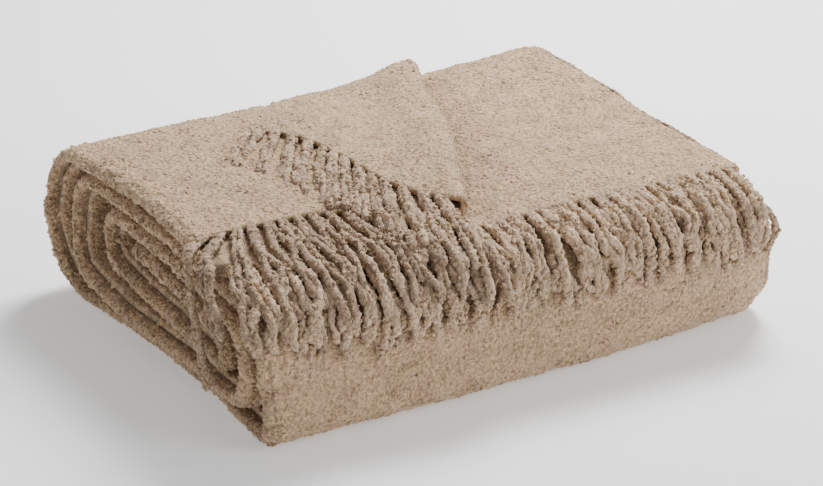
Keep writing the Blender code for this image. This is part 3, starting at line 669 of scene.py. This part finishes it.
print("a curl has", CURL_STATIONS * CURL_SIDES, "points")

# %% A nub
NUB_SIDES = 5


def nubs(name, root, normal, size, seed, shade):
    """Low domes: a ring of 5 points, a top above it, and a point underneath that closes it. The
    ring is long one way, and every reach and height has its own chance share. shade, a painted
    shade or highlight by place, is added to each one's tone."""
    chance = np.random.default_rng(seed)
    count = len(root)
    normal, tangent, side = leaning_axes(chance, normal, 0.07)
    radius = size * chance.uniform(0.7, 1.3, count)[:, None, None]
    long = chance.uniform(0.9, 1.25, count)[:, None, None]
    phi = 2 * math.pi * np.arange(NUB_SIDES) / NUB_SIDES
    reach = radius * chance.uniform(0.75, 1.25, (count, NUB_SIDES, 1))
    flat = (np.cos(phi)[None, :, None] * tangent[:, None] * long
            + np.sin(phi)[None, :, None] * side[:, None] / long)
    sunk = chance.uniform(-0.42, -0.20, (count, NUB_SIDES, 1))
    rim = root[:, None] + reach * flat + radius * normal[:, None] * sunk
    lean = chance.uniform(-0.35, 0.35, (2, count, 1))
    high = chance.uniform(0.24, 0.50, (count, 1))
    top = root + radius[:, 0] * (high * normal + lean[0] * tangent + lean[1] * side)
    foot = root - 0.60 * radius[:, 0] * normal
    points = np.concatenate([rim, top[:, None], foot[:, None]], axis=1)
    per = NUB_SIDES + 2
    k = np.arange(NUB_SIDES)
    k_next = (k + 1) % NUB_SIDES
    one = np.concatenate([np.stack([k, k_next, np.full(NUB_SIDES, per - 2)], -1),
                          np.stack([k_next, k, np.full(NUB_SIDES, per - 1)], -1)])
    faces = (one[None] + np.arange(count)[:, None, None] * per).reshape(-1, 3)
    tone = np.repeat(chance.uniform(-0.55, 0.55, count) + shade, per)
    return mesh_piece(name, points.reshape(-1, 3), [faces], tone=tone)


print("a nub has", NUB_SIDES + 2, "points")

# %% Strew the pile
NUB_SIZE = 0.0026
NUB_PIECES = 2
NUBS_PER_PIECE = 19900
RIDGE_NUB_SIZE = 0.0042
RIDGE_NUB_COUNT = 4000
LOOP_SIZE = 0.0009
LOOP_COUNT = 4500
pile = []
for k in range(NUB_PIECES):
    root, normal = strew(seen, NUBS_PER_PIECE, 40 + k)
    # the nubs near the crease take its painted shade and highlight
    pile.append(nubs("pile_nubs_%d" % (k + 1), root, normal, NUB_SIZE, 50 + k, crease_painted_light(root)))
root, normal = strew(at_left_end, RIDGE_NUB_COUNT, 43)
pile.append(nubs("ridge_nubs", root, normal, RIDGE_NUB_SIZE, 53, 0.0))
root, normal = strew(seen, LOOP_COUNT, 44)
# the loops are painted lighter, against the shade that falls on their undersides
pile.append(curls("pile_loops", root - 0.0002 * normal, normal, LOOP_SIZE, 54, lean=0.7, painted_lightening=1.2))
print("nubs:", NUB_PIECES * NUBS_PER_PIECE, "loops:", LOOP_COUNT)

# %% [markdown]
# ## The fringe
# Each strand is a bundle of boucle yarns, about 6 mm thick and 9 cm long, that leaves the hem and
# hangs over the pack's front. Two yarns that leave side by side wander together, others part from
# them, and a second layer lies underneath, so that dark gaps open between them here and there.
# Each hem's yarns carry a painted shade of their own: darker on the left hem, which lies in shade, a
# little darker on the turned corner and the layer underneath, and lighter on the front.
# A yarn's line is laid out in the strip's space by adding up small steps along its heading, so it
# bends over the edge as the cloth does. The yarn itself is a tube round that line whose radius has
# two lobes that turn with the length, and lumps.

# %% How the strands leave their hems
SIDE_HANG_X, SIDE_HANG_REACH = -0.2305, 0.010     # past this x a strand bends down over the side
LEFT_HEADINGS = np.array([
    # share, first, last, length, lift at the root, lift at the tip
    (0.0, -62, -66, 1.38, 0.0035, -0.004), (0.07, -46, -50, 1.42, 0.0025, -0.009),
    (0.13, -30, -24, 1.40, 0.0015, -0.010), (0.20, -16, -12, 1.35, 0.0005, -0.006),
    (0.35, -8, -6, 1.25, 0, 0), (0.7, 2, 2, 1.1, 0, 0), (1.0, 6, 3, 1.0, 0, 0)])
TURNED_HEADINGS = np.array([
    (0.0, -60, -46, 0.90, 0.0008, -0.0056), (0.15, -44, -32, 1.0, 0.0008, -0.0050),
    (0.4, -34, -26, 1.0, 0.0004, -0.0030), (0.7, -28, -16, 1.0, 0.0, 0.0), (1.0, -10, -2, 1.0, 0.0, 0.0)])
FRONT_HEADINGS = np.array([
    (0.0, -6, -5, 1.0, 0, 0), (0.5, 3, 2, 1.0, 0, 0), (0.85, 8, 7, 1.0, 0, 0), (0.95, 7, 4, 1.0, 0, 0),
    (1.0, 4, -4, 1.0, 0, 0)])


def over_the_side(p):
    """Bends down what reaches past the pack's left side: the excess turns into depth."""
    x = p[..., 0] - TO_FRAME[0]
    out = np.clip(SIDE_HANG_X - x, 0, None)
    kept = SIDE_HANG_REACH * (1 - np.exp(-out / SIDE_HANG_REACH))
    return p + np.stack([out - kept, 0 * out, kept - out], axis=-1)


def hem_places(kind, first, last):
    """x, s and h along one hem between two shares of its length."""
    if kind == "under":
        x = np.linspace(LEFT, RIGHT, 200)
        s, h = hem_s(x, 0 * x), 0 * x
    else:
        crease = ROW_CREASE[-1]
        from_edge = (ROW_EDGE[-1], crease + math.pi * CREASE_RADIUS)
        x = np.linspace(*((LEFT, crease) if kind == "left" else from_edge), 200)
        h = np.full(200, PLY_PITCH)
        s = hem_s(x, h)
        if kind == "turned":
            x, s, h = turn_back(x, s, h)
    length = np.concatenate([[0], np.cumsum(np.hypot(np.diff(x), np.diff(s)))])
    return length[-1] * (last - first), lambda share: tuple(
        np.interp((first + (last - first) * share) * length[-1], length, a) for a in (x, s, h))


print("hems in metres:", {kind: round(float(hem_places(kind, 0, 1)[0]), 3)
                          for kind in ("left", "turned", "under")})

# %% Lines of the strands
STRAND_LENGTH = 0.090
STRAND_STEPS = 36
ROOT_INSET = 0.004      # a yarn starts this far inside its hem


def strand_lines(kind, first, last, headings, seed, wander, sink, longer, pitch, group, close):
    """One row of points for each yarn: x and s are sums of steps along a heading that turns from
    its first to its last value, with a slow wave of its own and one shared by each group. A group
    leaves the hem close together, and its yarns part as they go."""
    chance = np.random.default_rng(seed)
    length, place = hem_places(kind, first, last)
    count = int(length / pitch)
    pair, within = np.arange(count) // group, np.arange(count) % group - (group - 1) / 2
    share = (pair * group + group / 2 + within * close + chance.uniform(-0.15, 0.15, count)) / count
    x, s, h = place(np.clip(share, 0, 1))
    look = lambda column: np.interp(share, headings[:, 0], headings[:, column])[:, None]
    t = np.linspace(0, 1, STRAND_STEPS)[None, :]
    heading = look(1) + (look(2) - look(1)) * np.minimum(1, 1.6 * t)
    start = np.minimum(1, 2 * t) * wander
    aside = chance.normal(0, 5.0, (count, 1))[pair] + chance.normal(0, 3.0, (count, 1))
    heading = heading + aside * start
    own = np.arange(count)
    # Waves of the heading: degrees, slowest and quickest angle over the length, and whose wave it is.
    for size, slow, quick, owner in ((9, 2, 5, pair), (13, 5, 12, own), (14, 14, 26, own)):
        height = chance.normal(0, size, (count, 1))
        wave = np.sin(t * chance.uniform(slow, quick, (count, 1)) + chance.uniform(0, 6.3, (count, 1)))
        heading = heading + (height * wave)[owner] * start
    heading = np.radians(heading)
    long = longer * STRAND_LENGTH * look(3) * (1 + chance.uniform(-0.20, 0.06, (count, 1)))
    step = long / (STRAND_STEPS - 1)
    x = x[:, None] + np.cumsum(np.sin(heading) * step, axis=1) - ROOT_INSET * np.sin(heading[:, :1])
    s = s[:, None] + np.cumsum(np.cos(heading) * step, axis=1) - ROOT_INSET * np.cos(heading[:, :1])
    part = (within * (1 - close) * pitch)[:, None] * np.clip(1.4 * t - 0.25, 0, 0.7)
    x, s = x + part * np.cos(heading), s - part * np.sin(heading)
    lift = look(4) + (look(5) - look(4)) * t + chance.uniform(-0.0006, 0.0022, (count, 1)) * wander
    wave = 0.0011 * np.sin(t * chance.uniform(8, 20, (count, 1)) + chance.uniform(0, 6.3, (count, 1)))
    h = h[:, None] + (lift - sink + wave) * np.minimum(1, 2.5 * t)
    return over_the_side(in_room(x, s, h))


print("a strand is %.0f cm long before each hem's own share" % (STRAND_LENGTH * 100))

# %% Twisted yarn
YARN_SIDES = 7
TWIST_PITCH = 0.011


def yarn(name, lines, seed, radius, shade):
    """Tubes round the lines. The section's axes stand square to the line, and its radius is
    1 + 0.20 cos 2(angle - turn) with noise, thinner at the root and blunt at the tip."""
    chance = np.random.default_rng(seed)
    count, steps = lines.shape[:2]
    ahead = np.gradient(lines, axis=1)
    step = np.linalg.norm(ahead, axis=2, keepdims=True)
    ahead = ahead / step
    turn_axis = np.cross(ahead[:, 2], ahead[:, -2])
    size = np.linalg.norm(turn_axis, axis=1, keepdims=True)
    turn_axis = np.where(size > 0.3, turn_axis / np.maximum(size, 1e-9), [1.0, 0.0, 0.0])
    one = turn_axis[:, None] - (turn_axis[:, None] * ahead).sum(2, keepdims=True) * ahead
    one /= np.linalg.norm(one, axis=2, keepdims=True)
    two = np.cross(ahead, one)
    run = np.cumsum(step[..., 0], axis=1)
    phi = 2 * math.pi * np.arange(YARN_SIDES) / YARN_SIDES
    twist = 2 * math.pi * run[..., None] / TWIST_PITCH + chance.uniform(0, 6.3, (count, 1, 1))
    lumps = chance.normal(0, 1, (count, steps, YARN_SIDES))
    lumps = (lumps + np.roll(lumps, 1, 2) + np.roll(lumps, 1, 1) + np.roll(lumps, -1, 1)) / 2
    t = np.linspace(0, 1, steps)[None, :, None]
    slow = np.sin(t * chance.uniform(12, 30, (count, 1, 1)) + chance.uniform(0, 6.3, (count, 1, 1)))
    end = np.clip((1 - t) * steps / 2.2 + 0.35, 0, 1) * (0.72 + 0.28 * np.clip(t * 6, 0, 1))
    r = radius * chance.uniform(0.8, 1.15, (count, 1, 1)) * (1 + 0.16 * slow) * end
    r = r * (1 + 0.20 * np.cos(2 * (phi - twist)) + 0.17 * lumps)
    spoke = np.cos(phi)[:, None] * one[:, :, None] + np.sin(phi)[:, None] * two[:, :, None]
    points = lines[:, :, None] + r[..., None] * spoke
    per = steps * YARN_SIDES
    base = np.arange(count)[:, None, None] * per
    quads = (ring_faces(steps, YARN_SIDES)[None] + base).reshape(-1, 4)
    caps = np.stack([np.arange(YARN_SIDES)[::-1], per - YARN_SIDES + np.arange(YARN_SIDES)])
    caps = (caps[None] + base).reshape(-1, YARN_SIDES)
    uv = np.stack([np.broadcast_to(phi * radius, r.shape) + np.arange(count)[:, None, None] * 0.05,
                   np.broadcast_to(run[..., None], r.shape)], -1).reshape(-1, 2)
    # shade is a painted shade or light, the same for all of a hem's yarns
    tone = np.repeat(chance.uniform(-1, 1, count) + shade, per)
    piece = mesh_piece(name, points.reshape(-1, 3), [quads, caps], uv=uv, tone=tone)
    face_outwards(piece)
    grow = points - lines[:, :, None]
    grow /= np.linalg.norm(grow, axis=-1, keepdims=True)
    return piece, points[:, 2:-1].reshape(-1, 3), grow[:, 2:-1].reshape(-1, 3)


print("a yarn turns once in %.0f mm" % (TWIST_PITCH * 1000))

# %% The four layers of yarn
FRINGE = (
    # name, hem, from, to, headings, seed, wander, sink, longer, pitch, group, close, radius, painted shade
    ("fringe_left_yarn", "left", 0.01, 0.97, LEFT_HEADINGS,
     11, 1.0, 0.0, 1.0, 0.0060, 2, 0.50, 0.0031, -1.9),
    ("fringe_turned_yarn", "turned", 0.0, 0.97, TURNED_HEADINGS,
     12, 0.30, 0.0022, 1.0, 0.0078, 2, 0.30, 0.0036, -0.6),
    ("fringe_front_yarn", "under", 0.005, 0.995, FRONT_HEADINGS,
     13, 1.0, 0.0, 1.0, 0.0060, 2, 0.45, 0.0033, 1.1),
    ("fringe_under_yarn", "under", 0.02, 0.98, FRONT_HEADINGS,
     14, 1.0, 0.0044, 1.04, 0.0078, 2, 0.60, 0.0031, -0.2),
)
strands, yarn_skin, yarn_out, yarn_painted_shade = [], [], [], []
for name, *how, radius, shade in FRINGE:
    lines = strand_lines(*how)
    piece, skin, out = yarn(name, lines, how[4] + 10, radius, shade)
    strands.append(piece)
    yarn_skin.append(skin)
    yarn_out.append(out)
    yarn_painted_shade.append(np.full(len(skin), shade))
    print(name, len(lines), "yarns")

# %% [markdown]
# ## Curls on the yarn
# The strands are of the same boucle yarn as the cloth, so nubs and small curls stand out of them
# too. They are strewn over the points of the tubes' own skin, and a nub takes its yarn's painted shade.

# %% Curls on the strands
FUZZ_COUNT, FUZZ_SIZE = 5000, 0.0012
KNOT_COUNT, KNOT_SIZE = 9000, 0.0021
# each skin point keeps its hem's painted shade for the nubs strewn on it
skin, out, shades = (np.concatenate(a) for a in (yarn_skin, yarn_out, yarn_painted_shade))
chosen = np.random.default_rng(31).choice(len(skin), FUZZ_COUNT + KNOT_COUNT, replace=False)
curled, knotted = chosen[:FUZZ_COUNT], chosen[FUZZ_COUNT:]
fuzz = curls("fringe_curls", skin[curled] - 0.0003 * out[curled], out[curled], FUZZ_SIZE, 32)
knots = nubs("fringe_nubs", skin[knotted], out[knotted], KNOT_SIZE, 33, shades[knotted])
print("curls on the fringe:", FUZZ_COUNT, "nubs:", KNOT_COUNT)

# %% [markdown]
# ## Wool
# The cloth is beige wool of mixed fibres, lighter and darker, with no gloss. Two effects are
# shared by every piece, so each is a node group: heathered colour, and the height of the nap.
# The wool's soft bloom at grazing angles is the shader's own sheen.

# %% Helpers for nodes
def new_group(name, inputs, outputs):
    """An empty node group with named sockets."""
    group = bpy.data.node_groups.new(name, "ShaderNodeTree")
    for title, kind, value in inputs:
        socket = group.interface.new_socket(name=title, in_out="INPUT", socket_type=kind)
        if value is not None:
            socket.default_value = value
    for title, kind in outputs:
        group.interface.new_socket(name=title, in_out="OUTPUT", socket_type=kind)
    return group, group.nodes.new("NodeGroupInput"), group.nodes.new("NodeGroupOutput")


def set_inputs(node, values):
    """Values for a node's sockets by their names."""
    for title, value in values.items():
        node.inputs[title].default_value = value


def noise(tree, vector, scale, detail, roughness=0.6):
    """Noise from 0 to 1 at a vector."""
    node = tree.nodes.new("ShaderNodeTexNoise")
    set_inputs(node, {"Scale": scale, "Detail": detail, "Roughness": roughness})
    tree.links.new(vector, node.inputs["Vector"])
    return node.outputs["Fac"]


def maths(tree, operation, a, b):
    """One sum or product of two numbers or sockets."""
    node = tree.nodes.new("ShaderNodeMath")
    node.operation = operation
    for socket, value in zip(node.inputs, (a, b)):
        if isinstance(value, (int, float)):
            socket.default_value = value
        else:
            tree.links.new(value, socket)
    return node.outputs[0]


def ramp(tree, value, low, high, out_low=0.0, out_high=1.0):
    """Stretches low to high over the new range, and holds what is past either end."""
    node = tree.nodes.new("ShaderNodeMapRange")
    tree.links.new(value, node.inputs["Value"])
    set_inputs(node, {"From Min": low, "From Max": high, "To Min": out_low, "To Max": out_high})
    return node.outputs["Result"]


def mix_colour(tree, factor, a, b):
    """Colour a where the factor is 0, and colour b where it is 1."""
    node = tree.nodes.new("ShaderNodeMix")
    node.data_type = "RGBA"
    tree.links.new(factor, node.inputs["Factor"])
    for socket, value in ((node.inputs[6], a), (node.inputs[7], b)):
        if isinstance(value, tuple):
            socket.default_value = value
        else:
            tree.links.new(value, socket)
    return node.outputs[2]


print("helpers for nodes are ready")

# %% Heather and nap
def heather_group():
    """Mixed fibres: fine specks 1 to 3 mm wide over soft patches of about 2 cm, with rosy yarn in
    patches of 1 cm and straw yellow yarn in larger ones."""
    group, inside, outside = new_group(
        "Heathered wool",
        [("Vector", "NodeSocketVector", None), ("Dark", "NodeSocketColor", (0.3, 0.2, 0.1, 1)),
         ("Light", "NodeSocketColor", (0.6, 0.5, 0.4, 1)),
         ("Rose", "NodeSocketColor", (0.55, 0.36, 0.27, 1)),
         ("Straw", "NodeSocketColor", (0.50, 0.40, 0.22, 1)), ("Tone", "NodeSocketFloat", 0.0)],
        [("Color", "NodeSocketColor")])
    fine = noise(group, inside.outputs["Vector"], 330.0, 3.0, 0.75)
    broad = noise(group, inside.outputs["Vector"], 48.0, 2.0)
    specks = ramp(group, fine, 0.35, 0.65, -0.04, 1.04)
    both = maths(group, "ADD", specks, ramp(group, broad, 0.28, 0.72, -0.28, 0.28))
    # Tone carries each piece's random tone together with its painted shade and highlight
    toned = maths(group, "ADD", both, maths(group, "MULTIPLY", inside.outputs["Tone"], 0.14))
    colour = mix_colour(group, toned, inside.outputs["Dark"], inside.outputs["Light"])
    rosy = ramp(group, noise(group, inside.outputs["Vector"], 95.0, 2.0), 0.42, 0.68, 0.0, 0.50)
    colour = mix_colour(group, rosy, colour, inside.outputs["Rose"])
    straw = ramp(group, noise(group, inside.outputs["Vector"], 61.0, 3.0), 0.48, 0.70, 0.0, 0.50)
    colour = mix_colour(group, straw, colour, inside.outputs["Straw"])
    group.links.new(colour, outside.inputs["Color"])
    return group


def nap_group():
    """Height of the nap: rounded cells for the curls, and noise for loose fibres."""
    group, inside, outside = new_group(
        "Boucle nap", [("Vector", "NodeSocketVector", None), ("Curl scale", "NodeSocketFloat", 300.0)],
        [("Height", "NodeSocketFloat")])
    cells = group.nodes.new("ShaderNodeTexVoronoi")
    cells.feature = "SMOOTH_F1"
    cells.inputs["Smoothness"].default_value = 0.6
    group.links.new(inside.outputs["Vector"], cells.inputs["Vector"])
    group.links.new(inside.outputs["Curl scale"], cells.inputs["Scale"])
    curl = ramp(group, cells.outputs["Distance"], 0.0, 0.7, 1.0, 0.0)
    loose = noise(group, inside.outputs["Vector"], 900.0, 4.0, 0.75)
    height = maths(group, "ADD", maths(group, "MULTIPLY", curl, 0.6), maths(group, "MULTIPLY", loose, 0.7))
    group.links.new(height, outside.inputs["Height"])
    return group


HEATHER, NAP = heather_group(), nap_group()
print("node groups:", HEATHER.name, "and", NAP.name)

# %% Materials
def wool(name, dark, light, coordinates, curl_scale, bump):
    """A wool material: the two groups, a bump, and the shader's own sheen."""
    material = bpy.data.materials.new(name)
    material.use_nodes = True
    tree = material.node_tree
    shader = tree.nodes["Principled BSDF"]
    if coordinates == "Object":
        vector = tree.nodes.new("ShaderNodeTexCoord").outputs["Object"]
    else:
        source = tree.nodes.new("ShaderNodeUVMap")
        source.uv_map = coordinates
        vector = source.outputs["UV"]
    colour, nap = tree.nodes.new("ShaderNodeGroup"), tree.nodes.new("ShaderNodeGroup")
    colour.node_tree, nap.node_tree = HEATHER, NAP
    set_inputs(colour, {"Dark": dark, "Light": light})
    set_inputs(nap, {"Curl scale": curl_scale})
    # the tone attribute holds random tone and the painted shade and highlight by place
    tone = tree.nodes.new("ShaderNodeAttribute")
    tone.attribute_name = "tone"
    tree.links.new(tone.outputs["Fac"], colour.inputs["Tone"])
    for group in (colour, nap):
        tree.links.new(vector, group.inputs["Vector"])
    tree.links.new(colour.outputs["Color"], shader.inputs["Base Color"])
    relief = tree.nodes.new("ShaderNodeBump")
    set_inputs(relief, {"Strength": 0.9, "Distance": bump})
    tree.links.new(nap.outputs["Height"], relief.inputs["Height"])
    tree.links.new(relief.outputs["Normal"], shader.inputs["Normal"])
    set_inputs(shader, {
        "Roughness": 0.95, "Specular IOR Level": 0.15, "Sheen Weight": 0.30, "Sheen Roughness": 0.45,
        "Sheen Tint": (1.0, 0.93, 0.85, 1.0)})
    return material


DARK_WOOL, LIGHT_WOOL = (0.19, 0.121, 0.071, 1.0), (0.75, 0.520, 0.308, 1.0)
cloth_wool = wool("boucle_cloth_wool", DARK_WOOL, LIGHT_WOOL, "cloth_metres", 300.0, 0.0012)
curl_wool = wool("boucle_curl_wool", DARK_WOOL, LIGHT_WOOL, "Object", 600.0, 0.0006)
# the strands get a lighter copy of the cloth's wool: painted light against the shade that falls among them
DARK_STRAND, LIGHT_STRAND = (0.26, 0.165, 0.105, 1.0), (0.86, 0.630, 0.430, 1.0)
strand_wool = wool("twisted_strand_wool", DARK_STRAND, LIGHT_STRAND, "cloth_metres", 480.0, 0.0020)
for pieces, material in ([cloth], cloth_wool), (pile + [fuzz, knots], curl_wool), (strands, strand_wool):
    for piece in pieces:
        piece.data.materials.append(material)
print("materials:", [m.name for m in (cloth_wool, curl_wool, strand_wool)])

# %% Ride and replace
fringe = strands + [fuzz, knots]
for piece in [cloth] + pile + fringe:
    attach(piece, "root")
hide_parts("cloth")
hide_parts("fringe_left")
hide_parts("fringe_turned")
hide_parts("fringe_front")
print("pieces:", len([cloth] + pile + fringe))

# %% [markdown]
# ## Floor, light and camera
# The throw lies on a plain pale floor. A large soft lamp hangs above it, behind and to the right,
# and a weaker one stands off to the front on the right, in pale air that lights every side a little.
# So its top is bright, its front is half lit and its left end lies in soft shade. The camera looks
# down on it at about 25 degrees from the left.

# %% Floor
WHITE = (1, 1, 1, 1)
FLOOR_REACH = 8
floor_mesh = bpy.data.meshes.new("studio_floor")
floor_corners = [(-FLOOR_REACH, -FLOOR_REACH, 0), (FLOOR_REACH, -FLOOR_REACH, 0),
                 (FLOOR_REACH, FLOOR_REACH, 0), (-FLOOR_REACH, FLOOR_REACH, 0)]
floor_mesh.from_pydata(floor_corners, [], [(0, 1, 2, 3)])
floor = put("studio_floor", floor_mesh)
floor_paint = bpy.data.materials.new("pale_floor")
floor_paint.use_nodes = True
set_inputs(floor_paint.node_tree.nodes["Principled BSDF"], {
    "Base Color": (0.93, 0.93, 0.93, 1), "Roughness": 0.9, "Emission Color": WHITE,
    "Emission Strength": 0.30})
floor_mesh.materials.append(floor_paint)
print("floor:", floor.name)

# %% Lamps
def lamp(name, place, aim, power, size):
    """A square soft lamp that looks from its place at the aim."""
    data = bpy.data.lights.new(name, "AREA")
    data.energy, data.size = power, size
    light = put(name, data)
    light.location = place
    light.rotation_euler = (Vector(aim) - Vector(place)).to_track_quat("-Z", "Y").to_euler()
    return light


lamps = [lamp("top_lamp", (0.80, 0.60, 1.40), (0, 0, 0.05), 59, 0.7),
         lamp("front_lamp", (1.2, -1.5, 0.8), (0, 0, 0.08), 17, 0.9)]
world = bpy.data.worlds.new("studio_air")
bpy.context.scene.world = world
world.use_nodes = True
set_inputs(world.node_tree.nodes["Background"], {"Color": WHITE, "Strength": 0.45})
print("lamps:", [light.name for light in lamps])

# %% Camera
AZIMUTH, ELEVATION, DISTANCE = math.radians(-29.25), math.radians(24.86), 1.9903
AIM = Vector((-0.0086, -0.0288, 0.060))
FOCAL_PIXELS, PHOTO_WIDTH = 2500, 823
SENSOR_WIDTH = 36       # millimetres
level = math.cos(ELEVATION)
back = Vector((math.sin(AZIMUTH) * level, -math.cos(AZIMUTH) * level, math.sin(ELEVATION)))
right = Vector((math.cos(AZIMUTH), math.sin(AZIMUTH), 0))
up = back.cross(right)
camera_data = bpy.data.cameras.new("photo_camera")
camera_data.sensor_width = SENSOR_WIDTH
camera_data.lens = SENSOR_WIDTH * FOCAL_PIXELS / PHOTO_WIDTH
camera = put("photo_camera", camera_data)
camera.matrix_world = Matrix((right, up, back)).transposed().to_4x4()
camera.location = AIM + back * DISTANCE
bpy.context.scene.camera = camera
print("lens: %.1f mm" % camera_data.lens)
